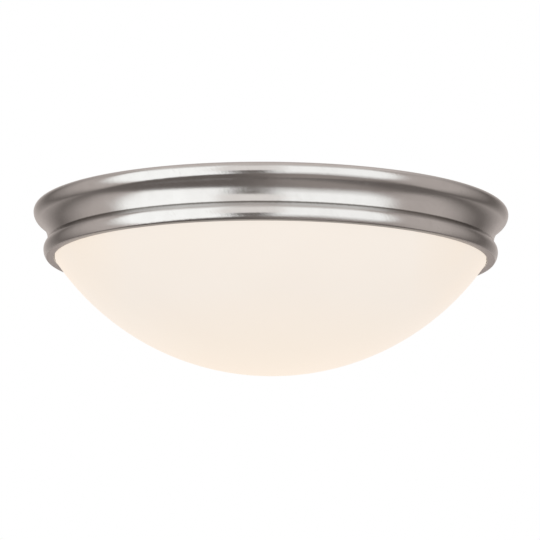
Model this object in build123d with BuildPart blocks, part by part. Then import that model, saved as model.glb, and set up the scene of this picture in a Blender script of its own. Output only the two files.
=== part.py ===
from build123d import *
import os
from math import acos, atan2, cos, degrees, hypot, radians, sin, sqrt, tan

# Flush mount ceiling light: a spun steel ring riveted to an enamelled pan, two lamps in
# lampholders under the pan, and an opal glass dome held by three spring clips.
# Millimetres. The ceiling is the plane z = 0, the light hangs below it, and its centre is the origin.

# ---------------------------------------------------------------- driving dimensions

# outer ring
ring_sheet = 1.0
body_radius = 177.8
bead_top_radius = 5.0
bead_radius = 8.0
waist_inset = 10.8
waist_depth = 25.2
crease_depth = 26.4
lower_bead_inset = 7.9
lower_bead_depth = 33.2
lower_bead_top_radius = 7.0
lower_bead_radius = 9.5
lower_bead_sweep = 36.0
lip_depth = 39.5
lip_inset = 15.8

# inner pan
pan_sheet = 1.0
pan_inset = 27.8
pan_depth = 14.0
pan_flange = 15.0
pan_bend = 3.0

# glass dome
dome_drop = 84.5
glass_wall = 3.5
glass_gap = 0.7
collar_land = 2.8
groove_depth = 3.0
groove_height = 5.0
rim_height = 5.5
rim_round = 1.2
dome_edge_round = 2.0

# spring clips
clip_count = 3
clip_first_angle = 30.0
clip_sheet = 0.5
clip_width = 24.0
clip_standoff = 2.1
clip_bite_gap = 0.4
clip_seat_gap = 0.35
clip_flare = 0.6
clip_end_rise = 3.3
clip_bend = 1.2

# rivets
rivet_radius = 1.6
rivet_head_radius = 2.7
rivet_head_height = 1.1
rivet_sink_radius = 2.4
rivet_sink_angle = 82.0
rivet_gap = 0.1
rivet_round = 0.5
ring_rivet_inset = 7.0
ring_rivet_spacing = 14.0

# mounting bar, and what hangs the pan from it
bar_length = 112.0
bar_width = 20.0
bar_sheet = 2.0
bar_corner = 4.0
box_screw_spacing = 88.9
box_slot_width = 4.8
box_slot_length = 12.7
stud_spacing = 60.0
stud_radius = 2.08
stud_gap = 0.05
stud_end_gap = 0.4
stud_chamfer = 0.4
nut_flats = 8.7
nut_height = 3.2
nut_chamfer = 0.3
washer_radius = 5.0
washer_sheet = 1.0
pan_stud_gap = 0.6
cap_nut_hex_height = 4.4
cap_nut_height = 9.6
cap_nut_dome_radius = 4.1
cap_nut_bore_depth = 7.5

# earth connection
ground_screw_radius = 2.0
ground_screw_head_radius = 4.4
ground_screw_flats = 6.3
ground_screw_collar = 0.8
ground_screw_head_height = 2.6
ground_screw_tip = 2.5
ground_screw_x = 12.0
ground_reach = 48.0
terminal_sheet = 0.8
terminal_radius = 4.0
terminal_tongue_width = 3.0
terminal_barrel_radius = 1.6
terminal_barrel_start = 5.0
terminal_barrel_length = 6.0
ground_wire_radius = 1.0
ground_wire_slack = 6.0

# insulation pad
pad_inner_radius = 62.0
pad_edge_gap = 3.5
pad_top_gap = 0.6
pad_seat_gap = 0.2
pad_rivet_room = 1.3

# wire hole and its bushing
wire_hole_radius = 17.0
bushing_gap = 0.1
bushing_wall = 2.9
bushing_flange = 2.0
bushing_flange_sheet = 1.2
bushing_round = 0.4

# leads and their connectors
lead_radius = 1.2
lead_hole_gap = 0.15
lead_hang_gap = 0.3
lead_end_gap = 0.5
lead_recess_depth = 6.7
lead_pair_spacing = 2.9
connector_mouth_y = 24.0
connector_length = 22.0
connector_mouth_radius = 5.4
connector_tip_radius = 3.8
connector_bore_radius = 3.2
connector_bore_depth = 14.0
connector_grip = 11.0
connector_round = 1.0

# lampholders: a lamp's axis starts at its contact and points towards the middle of the light
lamp_inset = 40.0
lamp_offset = 34.0
lamp_drop = 28.0
lamp_tilt = 8.0
socket_radius = 17.5
socket_rim_radius = 19.0
socket_rim_height = 4.0
socket_back = 16.0
socket_floor = 4.0
socket_front = 24.0
socket_bore_radius = 14.3
socket_round = 1.5
thread_pitch = 3.629
thread_depth = 0.4
shell_turns = 5
shell_thread_start = 1.5
shell_sheet = 0.4
shell_bore_gap = 0.15
shell_front_gap = 2.0
shell_tab_width = 8.0
shell_tab_end = 6.0
contact_sheet = 0.5
contact_width = 6.0
contact_gap = 0.3
contact_foot = 12.0
contact_rise_start = 6.5
contact_flat = 3.0
contact_bend = 0.8
lead_hole_offset = 9.0
socket_screw_offset = 9.0
socket_screw_radius = 1.5
socket_screw_depth = 8.0
socket_screw_head_radius = 2.9
socket_screw_head_height = 2.2
socket_screw_gap = 0.1
bracket_sheet = 1.5
bracket_width = 12.0
bracket_bend = 2.5
bracket_foot = 23.0
bracket_drop = 14.0
bracket_rivet_start = 8.0
bracket_rivet_spacing = 10.0

# lamps
cap_shell_gap = 0.3
cap_sheet = 0.4
cap_start = 4.6
cap_length = 26.0
cap_taper = 2.2
cap_taper_height = 1.4
cap_turns = 4
insulator_start = 1.4
insulator_tip_radius = 4.9
insulator_gap = 0.1
insulator_plug = 2.0
tip_radius = 4.5
bulb_radius = 30.0
bulb_centre = 78.0
bulb_neck_gap = 0.45
bulb_neck_start = 20.0
bulb_neck_end = 27.0
bulb_wall = 0.8
stem_radius = 3.2
stem_start = 21.5
stem_flare_sheet = 0.8
stem_flare_height = 5.0
stem_top = 44.0
stem_gap = 0.15
filament_distance = 68.0
filament_radius = 0.7
filament_half_length = 9.0
support_wire_radius = 0.4
support_wire_spacing = 3.2
support_wire_gap = 0.05

os.makedirs("parts", exist_ok=True)
pieces = []


def keep(piece, name):
    """Name a finished piece and keep it for writing."""
    piece.label = name
    pieces.append(piece)


# ---------------------------------------------------------------- places worked out from the sizes

waist_radius = body_radius - waist_inset
bead_centre = (body_radius - bead_radius, -bead_top_radius)
cove_reach = bead_centre[0] - waist_radius
cove_drop = waist_depth - bead_top_radius
cove_radius = (cove_reach**2 + cove_drop**2 - bead_radius**2) / (2 * (bead_radius + cove_reach))
cove_centre = (waist_radius + cove_radius, -waist_depth)
bead_sweep = degrees(atan2(cove_drop, cove_radius - cove_reach))
lower_widest_r = body_radius - lower_bead_inset
lower_top_centre = (lower_widest_r - lower_bead_top_radius, -lower_bead_depth)
lower_centre = (lower_widest_r - lower_bead_radius, -lower_bead_depth)
crease_reach = waist_radius - lower_top_centre[0]
crease_rise = lower_bead_depth - crease_depth
cone_lean = atan2(crease_rise, crease_reach) - acos(lower_bead_top_radius / hypot(crease_reach, crease_rise))
lower_sweep_share = sin(radians(lower_bead_sweep))
lip_bend_radius = (lip_depth - lower_bead_depth - lower_bead_radius * lower_sweep_share) / (1 - lower_sweep_share)
lip_bend_centre = (
    lower_centre[0] + (lower_bead_radius - lip_bend_radius) * cos(radians(lower_bead_sweep)),
    lip_bend_radius - lip_depth,
)
lip_radius = body_radius - lip_inset

pan_radius = body_radius - pan_inset
pan_top = -ring_sheet
pan_flange_z = pan_top - pan_sheet / 2
pan_wall_r = pan_radius - pan_sheet / 2
pan_bend_middle = pan_bend - pan_sheet / 2
ring_flange_radius = pan_wall_r + pan_bend_middle
plate_top = -pan_depth + pan_sheet
plate_under = -pan_depth

collar_radius = lip_radius - glass_gap
groove_radius = collar_radius - groove_depth
collar_inner_radius = groove_radius - glass_wall
dome_sphere_radius = (collar_radius**2 + dome_drop**2) / (2 * dome_drop)
collar_foot_z = -lip_depth
dome_bottom_z = collar_foot_z - dome_drop
dome_centre_z = dome_bottom_z + dome_sphere_radius
groove_foot_z = collar_foot_z + collar_land
groove_top_z = groove_foot_z + 2 * groove_depth + groove_height
rim_top_z = groove_top_z + rim_height

clip_foot_top = pan_top - pan_sheet
clip_angles = [clip_first_angle + index * 360 / clip_count for index in range(clip_count)]
rivet_circle = pan_radius + ring_rivet_inset
rivet_places = [
    Vector(rivet_circle, side * ring_rivet_spacing / 2).rotate(Axis.Z, angle)
    for angle in clip_angles
    for side in (-1, 1)
]
stud_places = [(-stud_spacing / 2, 0), (stud_spacing / 2, 0)]

lamp_turns = (0, 180)
tilt = radians(lamp_tilt)
lamp_axis = Vector(cos(tilt), 0, -sin(tilt))
lamp_up = Vector(sin(tilt), 0, cos(tilt))
lamp_side = Vector(0, 1, 0)
lamp_contact = Vector(lamp_inset - pan_radius, lamp_offset, plate_under - lamp_drop)
lamp_line = Axis(lamp_contact, lamp_axis)
lamp_section = Plane(origin=lamp_contact, x_dir=lamp_up, z_dir=lamp_side)
lamp_side_section = Plane(origin=lamp_contact, x_dir=lamp_side, z_dir=-lamp_up)
lamp_upright = Plane(origin=(0, lamp_offset, 0), x_dir=(1, 0, 0), z_dir=(0, -1, 0))

bracket_back = lamp_contact - lamp_axis * (socket_back + bracket_sheet / 2)
bracket_low = bracket_back - lamp_up * bracket_drop
bracket_rise = (plate_under - bracket_sheet / 2 - bracket_back.Z) / cos(tilt)
bracket_corner = bracket_back + lamp_up * bracket_rise
bracket_rivet_xs = [
    bracket_corner.X + bracket_rivet_start,
    bracket_corner.X + bracket_rivet_start + bracket_rivet_spacing,
]
bracket_rivet_places = [
    Vector(x, lamp_offset).rotate(Axis.Z, turn)
    for turn in lamp_turns
    for x in bracket_rivet_xs
]

lead_run_z = plate_under - bushing_flange_sheet - lead_hang_gap - lead_radius
lead_recess_z = -lead_recess_depth


def across_lamp(distance):
    """Plane across the lamp's axis at a distance from its contact, with x to the side and y up."""
    return Plane(origin=lamp_contact + lamp_axis * distance, x_dir=lamp_side, z_dir=lamp_axis)


def keep_both(piece, name):
    """Keep a lamp or lampholder piece at both of its places."""
    for number, turn in enumerate(lamp_turns, start=1):
        keep(piece.rotate(Axis.Z, turn), f"{name}_{number}")


# ---------------------------------------------------------------- outer ring

def ring_skin(inset):
    """Draw the ring's outline from its flange to its lip, moved into the metal by inset."""
    waist = waist_radius - inset
    top_radius = lower_bead_top_radius - inset
    top_centre = (body_radius - bead_top_radius, -bead_top_radius)
    flange = Line((ring_flange_radius, -inset), (top_centre[0], -inset))
    CenterArc(top_centre, bead_top_radius - inset, 90, -90)
    CenterArc(bead_centre, bead_radius - inset, 0, -bead_sweep)
    cove = CenterArc(cove_centre, cove_radius + inset, 180 - bead_sweep, bead_sweep)
    crease_z = -lower_bead_depth + (top_radius - (waist - lower_top_centre[0]) * cos(cone_lean)) / sin(cone_lean)
    Line(cove.position_at(1), (waist, crease_z))
    lower_top = CenterArc(lower_top_centre, top_radius, degrees(cone_lean), -degrees(cone_lean))
    Line((waist, crease_z), lower_top.position_at(0))
    CenterArc(lower_centre, lower_bead_radius - inset, 0, -lower_bead_sweep)
    lip_bend = CenterArc(lip_bend_centre, lip_bend_radius - inset, -lower_bead_sweep, lower_bead_sweep - 90)
    lip = Line(lip_bend.position_at(1), (lip_radius, inset - lip_depth))
    return flange.position_at(0), lip.position_at(1)


with BuildPart() as trim_ring:
    with BuildSketch(Plane.XZ):
        with BuildLine():
            outside_ends = ring_skin(0)
            inside_ends = ring_skin(ring_sheet)
            for outside_end, inside_end in zip(outside_ends, inside_ends):
                Line(outside_end, inside_end)
        make_face()
    revolve(axis=Axis.Z)
    with Locations(*rivet_places):
        CounterSinkHole(
            rivet_radius + rivet_gap, rivet_sink_radius + rivet_gap, 2 * ring_sheet, rivet_sink_angle
        )
keep(trim_ring.part, "trim_ring")


# ---------------------------------------------------------------- inner pan

with BuildPart() as inner_pan:
    with BuildSketch(Plane.XZ):
        with BuildLine() as pan_middle:
            FilletPolyline(
                (pan_radius + pan_flange, pan_flange_z),
                (pan_wall_r, pan_flange_z),
                (pan_wall_r, plate_top - pan_sheet / 2),
                (wire_hole_radius, plate_top - pan_sheet / 2),
                radius=pan_bend_middle,
            )
        trace(pan_middle.line, pan_sheet)
    revolve(axis=Axis.Z)
    with Locations(*stud_places):
        Hole(stud_radius + pan_stud_gap)
    with Locations(*rivet_places, *bracket_rivet_places):
        Hole(rivet_radius + rivet_gap)
    with Locations((ground_screw_x, ground_reach)):
        Hole(ground_screw_radius + stud_gap)
keep(inner_pan.part, "inner_pan")


# ---------------------------------------------------------------- rivets

def rivet_head(face_z, away):
    """Add a rounded rivet head on a level face, above it when away is 1 and below it when -1."""
    with BuildSketch(Plane.XY.offset(face_z)) as head:
        Circle(rivet_head_radius)
    extrude(head.sketch, amount=away * rivet_head_height)
    fillet(edges().group_by(Axis.Z)[0 if away < 0 else -1], rivet_round)


sink_depth = (rivet_sink_radius - rivet_radius) / tan(radians(rivet_sink_angle / 2))
clip_under = clip_foot_top - clip_sheet

with BuildPart() as ring_rivet:
    with BuildSketch(Plane.XZ):
        with BuildLine():
            Polyline(
                (0, -rivet_gap),
                (rivet_sink_radius, -rivet_gap),
                (rivet_radius, -rivet_gap - sink_depth),
                (rivet_radius, clip_under),
                (0, clip_under),
                close=True,
            )
        make_face()
    revolve(axis=Axis.Z)
    rivet_head(clip_under, -1)

with BuildPart() as ring_rivets:
    with Locations(*rivet_places):
        add(ring_rivet.part)
keep(ring_rivets.part, "ring_rivets")

bracket_under = plate_under - bracket_sheet
with BuildPart() as bracket_rivet:
    with BuildSketch(Plane.XY.offset(bracket_under)):
        Circle(rivet_radius)
    extrude(amount=plate_top - bracket_under)
    rivet_head(plate_top, 1)
    rivet_head(bracket_under, -1)

with BuildPart() as bracket_rivets:
    with Locations(*bracket_rivet_places):
        add(bracket_rivet.part)
keep(bracket_rivets.part, "bracket_rivets")


# ---------------------------------------------------------------- glass dome

with BuildPart() as glass_dome:
    with BuildSketch(Plane.XZ) as dome_section:
        with BuildLine():
            inner_sphere = dome_sphere_radius - glass_wall
            inner_foot_z = dome_centre_z - sqrt(inner_sphere**2 - collar_inner_radius**2)
            Polyline(
                (collar_radius, collar_foot_z),
                (collar_radius, groove_foot_z),
                (groove_radius, groove_foot_z + groove_depth),
                (groove_radius, groove_top_z - groove_depth),
                (collar_radius, groove_top_z),
                (collar_radius, rim_top_z),
                (collar_inner_radius, rim_top_z),
                (collar_inner_radius, inner_foot_z),
            )
            RadiusArc((collar_inner_radius, inner_foot_z), (0, dome_bottom_z + glass_wall), inner_sphere)
            Line((0, dome_bottom_z + glass_wall), (0, dome_bottom_z))
            RadiusArc((0, dome_bottom_z), (collar_radius, collar_foot_z), -dome_sphere_radius)
        make_face()
        groove_corners = dome_section.vertices().filter_by_position(
            Axis.Y, groove_foot_z - rim_round, rim_top_z + rim_round
        )
        fillet(groove_corners, rim_round)
        dome_corner = dome_section.vertices().sort_by_distance((collar_radius, collar_foot_z))[0]
        fillet(dome_corner, dome_edge_round)
    revolve(axis=Axis.Z)
keep(glass_dome.part, "glass_dome")


# ---------------------------------------------------------------- spring clips

leaf_radius = collar_radius + clip_standoff + clip_sheet / 2
bite_radius = groove_radius + clip_bite_gap + clip_sheet / 2
seat_offset = collar_radius - groove_top_z + (clip_seat_gap + clip_sheet / 2) * sqrt(2)
clip_foot_z = clip_foot_top - clip_sheet / 2

with BuildPart() as spring_clip:
    with BuildSketch(Plane.XZ):
        with BuildLine() as clip_middle:
            FilletPolyline(
                (ring_flange_radius, clip_foot_z),
                (leaf_radius, clip_foot_z),
                (leaf_radius, leaf_radius - seat_offset),
                (bite_radius, bite_radius - seat_offset),
                (collar_radius + clip_flare + clip_sheet / 2, collar_foot_z + clip_end_rise),
                radius=clip_bend,
            )
        trace(clip_middle.line, clip_sheet)
    extrude(amount=clip_width / 2, both=True)
    with Locations(*[(rivet_circle, side * ring_rivet_spacing / 2, clip_foot_z) for side in (-1, 1)]):
        Hole(rivet_radius + rivet_gap, 2 * clip_sheet)

for number, clip_angle in enumerate(clip_angles, start=1):
    keep(spring_clip.part.rotate(Axis.Z, clip_angle), f"spring_clip_{number}")


# ---------------------------------------------------------------- mounting bar, studs and nuts

bar_under = -bar_sheet
washer_under = plate_under - washer_sheet

with BuildPart() as mounting_bar:
    with BuildSketch(Plane.XY.offset(bar_under)):
        RectangleRounded(bar_length, bar_width, bar_corner)
        with Locations((-box_screw_spacing / 2, 0), (box_screw_spacing / 2, 0)):
            SlotOverall(box_slot_length, box_slot_width, mode=Mode.SUBTRACT)
        with Locations(*stud_places):
            Circle(stud_radius + stud_gap, mode=Mode.SUBTRACT)
        with Locations((ground_screw_x, 0)):
            Circle(ground_screw_radius + stud_gap, mode=Mode.SUBTRACT)
    extrude(amount=bar_sheet)
keep(mounting_bar.part, "mounting_bar")

with BuildPart() as mounting_studs:
    with BuildSketch(Plane.XY.offset(-stud_gap)):
        with Locations(*stud_places):
            Circle(stud_radius)
    extrude(amount=washer_under - cap_nut_bore_depth + stud_end_gap + stud_gap)
    chamfer(edges().filter_by(GeomType.CIRCLE), stud_chamfer)
keep(mounting_studs.part, "mounting_studs")

with BuildPart() as stud_nuts:
    with BuildSketch(Plane.XY.offset(bar_under)):
        with Locations(*stud_places):
            RegularPolygon(nut_flats / 2, 6, major_radius=False)
            Circle(stud_radius + stud_gap, mode=Mode.SUBTRACT)
    extrude(amount=-nut_height)
keep(stud_nuts.part, "stud_nuts")

with BuildPart() as stud_washers:
    with BuildSketch(Plane.XY.offset(plate_under)):
        with Locations(*stud_places):
            Circle(washer_radius)
            Circle(stud_radius + pan_stud_gap / 2, mode=Mode.SUBTRACT)
    extrude(amount=-washer_sheet)
keep(stud_washers.part, "stud_washers")

with BuildPart() as cap_nut:
    with BuildSketch(Plane.XY.offset(washer_under)):
        RegularPolygon(nut_flats / 2, 6, major_radius=False)
    extrude(amount=-cap_nut_hex_height)
    chamfer(edges().group_by(Axis.Z)[0], nut_chamfer)
    with BuildSketch(Plane.XZ):
        with BuildLine():
            dome_start_z = washer_under - cap_nut_height + cap_nut_dome_radius
            Polyline(
                (0, dome_start_z - cap_nut_dome_radius),
                (0, washer_under - cap_nut_hex_height / 2),
                (cap_nut_dome_radius, washer_under - cap_nut_hex_height / 2),
                (cap_nut_dome_radius, dome_start_z),
            )
            CenterArc((0, dome_start_z), cap_nut_dome_radius, 0, -90)
        make_face()
    revolve(axis=Axis.Z)
    with Locations((0, 0, washer_under)):
        Hole(stud_radius + stud_gap, cap_nut_bore_depth)

with BuildPart() as cap_nuts:
    with Locations(*stud_places):
        add(cap_nut.part)
keep(cap_nuts.part, "cap_nuts")


# ---------------------------------------------------------------- earth connection

bar_terminal_z = bar_under - terminal_barrel_radius
pan_terminal_z = plate_top + terminal_barrel_radius


def terminal(face_z, away, place_y, forward):
    """Add a ring terminal on a face: a flat eye at place_y and a barrel pointing forward along Y."""
    tongue_start = place_y + forward * (ground_screw_radius + terminal_radius) / 2
    barrel_start = place_y + forward * terminal_barrel_start
    with BuildSketch(Plane.XY.offset(face_z)) as eye:
        with Locations((ground_screw_x, place_y)):
            Circle(terminal_radius)
            Circle(ground_screw_radius + stud_gap, mode=Mode.SUBTRACT)
        with Locations((ground_screw_x, (tongue_start + barrel_start) / 2)):
            Rectangle(terminal_tongue_width, abs(barrel_start - tongue_start))
    extrude(eye.sketch, amount=away * terminal_sheet)
    barrel_face = Plane(
        origin=(ground_screw_x, barrel_start, face_z + away * terminal_barrel_radius),
        x_dir=(1, 0, 0),
        z_dir=(0, forward, 0),
    )
    with BuildSketch(barrel_face) as barrel:
        Circle(terminal_barrel_radius)
        Circle(ground_wire_radius + stud_gap, mode=Mode.SUBTRACT)
    extrude(barrel.sketch, amount=terminal_barrel_length)


with BuildPart() as ground_terminals:
    terminal(bar_under, -1, 0, 1)
    terminal(plate_top, 1, ground_reach, -1)
keep(ground_terminals.part, "ground_terminals")

with BuildPart() as ground_screws:
    for face_z, away, place_y, tip_z in (
        (bar_under - terminal_sheet, -1, 0, -stud_gap),
        (plate_top + terminal_sheet, 1, ground_reach, plate_under - ground_screw_tip),
    ):
        with BuildSketch(Plane.XY.offset(face_z)):
            with Locations((ground_screw_x, place_y)):
                Circle(ground_screw_radius)
        extrude(amount=tip_z - face_z)
        with BuildSketch(Plane.XY.offset(face_z)):
            with Locations((ground_screw_x, place_y)):
                Circle(ground_screw_head_radius)
        extrude(amount=away * ground_screw_collar)
        with BuildSketch(Plane.XY.offset(face_z)):
            with Locations((ground_screw_x, place_y)):
                RegularPolygon(ground_screw_flats / 2, 6, major_radius=False)
        extrude(amount=away * ground_screw_head_height)
keep(ground_screws.part, "ground_screws")


def corner_radii(points):
    """Radius of each corner of a wire's path: as large as its two runs allow."""
    radii = []
    for before, corner, after in zip(points, points[1:], points[2:]):
        run_in = Vector(corner) - Vector(before)
        run_out = Vector(after) - Vector(corner)
        half_turn = radians(run_in.get_angle(run_out)) / 2
        radii.append(0.45 * min(run_in.length, run_out.length) / tan(half_turn))
    return radii


def keep_wire(points, radius, name):
    """Sweep a round wire along straight runs joined by tangent arcs and keep it."""
    radii = corner_radii(points)
    with BuildPart() as wire:
        with BuildLine():
            route = FilletPolyline(*points, radius=radii)
        with BuildSketch(Plane(origin=route @ 0, z_dir=route % 0)):
            Circle(radius)
        sweep()
    print(name, "smallest bend", round(min(radii), 1), "mm, length", round(route.length, 1), "mm")
    keep(wire.part, name)


wire_start_y = terminal_barrel_start
wire_end_y = ground_reach - terminal_barrel_start
wire_slope_start = wire_start_y + terminal_barrel_length + ground_wire_slack
wire_slope_end = wire_end_y - terminal_barrel_length - ground_wire_slack
keep_wire(
    [
        (ground_screw_x, wire_start_y, bar_terminal_z),
        (ground_screw_x, wire_slope_start, bar_terminal_z),
        (ground_screw_x, wire_slope_end, pan_terminal_z),
        (ground_screw_x, wire_end_y, pan_terminal_z),
    ],
    ground_wire_radius,
    "ground_wire",
)


# ---------------------------------------------------------------- insulation pad and bushing

with BuildPart() as insulation_pad:
    with BuildSketch(Plane.XY.offset(plate_top + pad_seat_gap)):
        Circle(pan_radius - pan_sheet - pad_edge_gap)
        Circle(pad_inner_radius, mode=Mode.SUBTRACT)
    extrude(amount=-pad_top_gap - plate_top - pad_seat_gap)
    with BuildSketch(Plane.XY.offset(plate_top)):
        with Locations(*bracket_rivet_places):
            Circle(rivet_head_radius + pad_rivet_room)
    extrude(amount=rivet_head_height + pad_rivet_room, mode=Mode.SUBTRACT)
keep(insulation_pad.part, "insulation_pad")

bushing_radius = wire_hole_radius - bushing_gap
bushing_bore_radius = bushing_radius - bushing_wall
bushing_rim_radius = wire_hole_radius + bushing_flange

with BuildPart() as wire_bushing:
    with BuildSketch(Plane.XZ):
        with BuildLine():
            Polyline(
                (bushing_bore_radius, plate_top + bushing_flange_sheet),
                (bushing_rim_radius, plate_top + bushing_flange_sheet),
                (bushing_rim_radius, plate_top),
                (bushing_radius, plate_top),
                (bushing_radius, plate_under),
                (bushing_rim_radius, plate_under),
                (bushing_rim_radius, plate_under - bushing_flange_sheet),
                (bushing_bore_radius, plate_under - bushing_flange_sheet),
                close=True,
            )
        make_face()
    revolve(axis=Axis.Z)
    bore_edges = edges().filter_by(GeomType.CIRCLE).group_by(SortBy.RADIUS)[0]
    fillet(bore_edges, bushing_round)
keep(wire_bushing.part, "wire_bushing")


# ---------------------------------------------------------------- wire connectors and leads

connector_section = Plane(
    origin=(0, connector_mouth_y, lead_recess_z), x_dir=(1, 0, 0), z_dir=(0, 0, 1)
)
with BuildPart() as wire_connector:
    with BuildSketch(connector_section):
        with BuildLine():
            Polyline(
                (connector_bore_radius, 0),
                (connector_mouth_radius, 0),
                (connector_tip_radius, connector_length),
                (0, connector_length),
                (0, connector_bore_depth),
                (connector_bore_radius, connector_bore_depth),
                close=True,
            )
        make_face()
    revolve(axis=Axis((0, 0, lead_recess_z), (0, 1, 0)))
    fillet(edges().group_by(Axis.Y)[-1], connector_round)
keep(wire_connector.part, "wire_nut_live")
keep(wire_connector.part.rotate(Axis.Z, 180), "wire_nut_neutral")

# Each route leaves its lampholder backwards, climbs behind it, runs under the pan past a cap nut,
# rises through the bushing and ends in a connector. The first points depend on the lampholder.
outer_run = [(-98, 42.5), (-60, 27), (-31, 15.5), (-6.5, 4.5)]
inner_run = [(-98, 25.5), (-60, 15), (-31, 9.5), (-6.5, -3)]
run_ends = {1: outer_run, -1: inner_run}
run_side_y = {1: lamp_offset + lead_hole_offset, -1: lamp_offset - lead_hole_offset}


def lead_points(hole_side, riser, run_side):
    """Points of one lead of the first lampholder, from its hole to its connector."""
    hole = lamp_contact + lamp_side * (hole_side * lead_hole_offset)
    start = hole - lamp_axis * (socket_floor + lead_end_gap)
    behind = hole - lamp_axis * riser
    points = [tuple(start), tuple(behind), (behind.X, run_side_y[run_side], lead_run_z)]
    points += [(x, y, lead_run_z) for x, y in run_ends[run_side]]
    pair_x = -lead_pair_spacing / 2
    points += [
        (-2, run_side * 8, lead_recess_z),
        (pair_x, run_side * connector_mouth_y, lead_recess_z),
        (pair_x, run_side * (connector_mouth_y + connector_grip), lead_recess_z),
    ]
    return points


def turned(points):
    """The same points at the second lampholder."""
    return [(-x, -y, z) for x, y, z in points]


keep_wire(lead_points(1, 30, 1), lead_radius, "lead_black_1")
keep_wire(lead_points(-1, 30, -1), lead_radius, "lead_white_1")
keep_wire(turned(lead_points(1, 33, -1)), lead_radius, "lead_black_2")
keep_wire(turned(lead_points(-1, 27, 1)), lead_radius, "lead_white_2")


# ---------------------------------------------------------------- lampholders

def threaded_wall(radius, start, end, first_thread, turns):
    """Draw a wall along the lamp's axis with rolled thread waves standing out of it."""
    Line((radius, start), (radius, first_thread))
    for turn in range(turns):
        low = first_thread + turn * thread_pitch
        crest = (radius + thread_depth, low + thread_pitch / 2)
        ThreePointArc((radius, low), crest, (radius, low + thread_pitch))
    Line((radius, first_thread + turns * thread_pitch), (radius, end))


with BuildPart() as socket_body:
    with BuildSketch(lamp_section):
        with BuildLine():
            Polyline(
                (0, -socket_back),
                (socket_radius, -socket_back),
                (socket_radius, socket_front - socket_rim_height),
                (socket_rim_radius, socket_front - socket_rim_height),
                (socket_rim_radius, socket_front),
                (socket_bore_radius, socket_front),
                (socket_bore_radius, -socket_floor),
                (0, -socket_floor),
                close=True,
            )
        make_face()
    revolve(axis=lamp_line)
    back_edge = edges().filter_by(GeomType.CIRCLE).sort_by(Axis(lamp_contact, lamp_axis))[0]
    fillet(back_edge, socket_round)
    with BuildSketch(across_lamp(-socket_back)):
        with Locations((-lead_hole_offset, 0), (lead_hole_offset, 0)):
            Circle(lead_radius + lead_hole_gap)
    extrude(amount=socket_back - socket_floor, mode=Mode.SUBTRACT)
    with BuildSketch(across_lamp(-socket_back)):
        with Locations((0, -socket_screw_offset), (0, socket_screw_offset)):
            Circle(socket_screw_radius + socket_screw_gap)
    extrude(amount=socket_screw_depth, mode=Mode.SUBTRACT)
keep_both(socket_body.part, "socket_body")

shell_radius = socket_bore_radius - shell_bore_gap - thread_depth
shell_front = socket_front - shell_front_gap
shell_inner_radius = shell_radius - shell_sheet

with BuildPart() as socket_shell:
    with BuildSketch(lamp_section):
        with BuildLine():
            for wall_radius in (shell_radius, shell_inner_radius):
                threaded_wall(wall_radius, -socket_floor, shell_front, shell_thread_start, shell_turns)
            Line((shell_radius, -socket_floor), (shell_inner_radius, -socket_floor))
            Line((shell_radius, shell_front), (shell_inner_radius, shell_front))
        make_face()
    revolve(axis=lamp_line)
    with BuildSketch(across_lamp(-socket_floor)):
        with Locations((-(shell_tab_end + shell_inner_radius) / 2, 0)):
            Rectangle(shell_inner_radius - shell_tab_end + shell_sheet, shell_tab_width)
    extrude(amount=shell_sheet)
keep_both(socket_shell.part, "socket_shell")

with BuildPart() as socket_contact:
    with BuildSketch(lamp_side_section):
        with BuildLine() as contact_middle:
            FilletPolyline(
                (contact_foot, -socket_floor + contact_sheet / 2),
                (contact_rise_start, -socket_floor + contact_sheet / 2),
                (contact_flat, -contact_gap - contact_sheet / 2),
                (-contact_flat, -contact_gap - contact_sheet / 2),
                radius=contact_bend,
            )
        trace(contact_middle.line, contact_sheet)
    extrude(amount=contact_width / 2, both=True)
keep_both(socket_contact.part, "socket_contact")

with BuildPart() as socket_bracket:
    with BuildSketch(lamp_upright):
        with BuildLine() as bracket_middle:
            FilletPolyline(
                (bracket_low.X, bracket_low.Z),
                (bracket_corner.X, bracket_corner.Z),
                (bracket_corner.X + bracket_foot, bracket_corner.Z),
                radius=bracket_bend,
            )
        trace(bracket_middle.line, bracket_sheet)
    extrude(amount=bracket_width / 2, both=True)
    with Locations(*[(x, lamp_offset) for x in bracket_rivet_xs]):
        Hole(rivet_radius + rivet_gap)
    with BuildSketch(across_lamp(-socket_back - bracket_sheet)):
        with Locations((0, -socket_screw_offset), (0, socket_screw_offset)):
            Circle(socket_screw_radius + socket_screw_gap)
    extrude(amount=bracket_sheet, mode=Mode.SUBTRACT)
keep_both(socket_bracket.part, "socket_bracket")

with BuildPart() as socket_screw_pair:
    with BuildSketch(across_lamp(-socket_back - bracket_sheet)):
        with Locations((0, -socket_screw_offset), (0, socket_screw_offset)):
            Circle(socket_screw_radius)
    extrude(amount=bracket_sheet + socket_screw_depth - socket_screw_gap)
    with BuildSketch(across_lamp(-socket_back - bracket_sheet)):
        with Locations((0, -socket_screw_offset), (0, socket_screw_offset)):
            Circle(socket_screw_head_radius)
    extrude(amount=-socket_screw_head_height)

with BuildPart() as socket_screws:
    for turn in lamp_turns:
        add(socket_screw_pair.part.rotate(Axis.Z, turn))
keep(socket_screws.part, "socket_screws")


# ---------------------------------------------------------------- lamps

cap_radius = shell_inner_radius - cap_shell_gap - thread_depth
cap_inner_radius = cap_radius - cap_sheet
cap_shoulder = cap_start + cap_taper_height

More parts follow.
